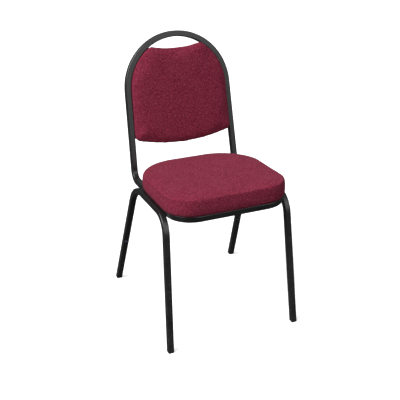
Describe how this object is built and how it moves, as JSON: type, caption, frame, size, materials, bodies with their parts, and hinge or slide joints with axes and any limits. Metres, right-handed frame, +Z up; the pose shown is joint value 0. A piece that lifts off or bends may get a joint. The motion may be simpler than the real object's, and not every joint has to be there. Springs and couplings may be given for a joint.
{
  "type": "stacking chair",
  "caption": "Armless stacking chair with a domed tubular back, a padded back with a scooped top, a boxed seat cushion and splayed square-tube legs.",
  "frame": {"origin": "on the floor, at the middle of the chair's overall width and depth", "axes": "+Z up, -Y towards the front of the seat, +X to the right as seen from the front"},
  "size_m": [0.4608, 0.5145, 0.8644],
  "materials": {
    "frame_paint": "satin black powder coat",
    "glide_plastic": "moulded black",
    "bumper_plastic": "glossy blue-black",
    "upholstery": "burgundy heathered woven cloth",
    "foam": "open-cell polyurethane foam",
    "plywood": "raw plywood",
    "hardboard": "pressed hardboard",
    "dust_cloth": "black non-woven cloth",
    "zinc_steel": "zinc plated",
    "clip_plastic": "natural nylon"
  },
  "bodies": {
    "root": {"seat_back_loop": "frame_paint", "loop_butt_weld": "frame_paint", "left_leg_frame": "frame_paint", "right_leg_frame": "frame_paint", "rear_crossbar": "frame_paint", "leg_frame_welds": "frame_paint", "back_mount_tabs": "frame_paint", "front_left_glide": "glide_plastic", "front_right_glide": "glide_plastic", "rear_left_glide": "glide_plastic", "rear_right_glide": "glide_plastic", "left_leg_bumper": "bumper_plastic", "right_leg_bumper": "bumper_plastic", "seat_cover": "upholstery", "back_cover": "upholstery", "back_rear_cover": "upholstery", "seat_foam": "foam", "back_foam": "foam", "seat_board": "plywood", "back_board": "plywood", "back_rear_panel": "hardboard", "seat_dust_cover": "dust_cloth", "seat_screws": "zinc_steel", "seat_tee_nuts": "zinc_steel", "back_screws": "zinc_steel", "back_tee_nuts": "zinc_steel", "rear_panel_clips": "clip_plastic"}
  },
  "joints": []
}
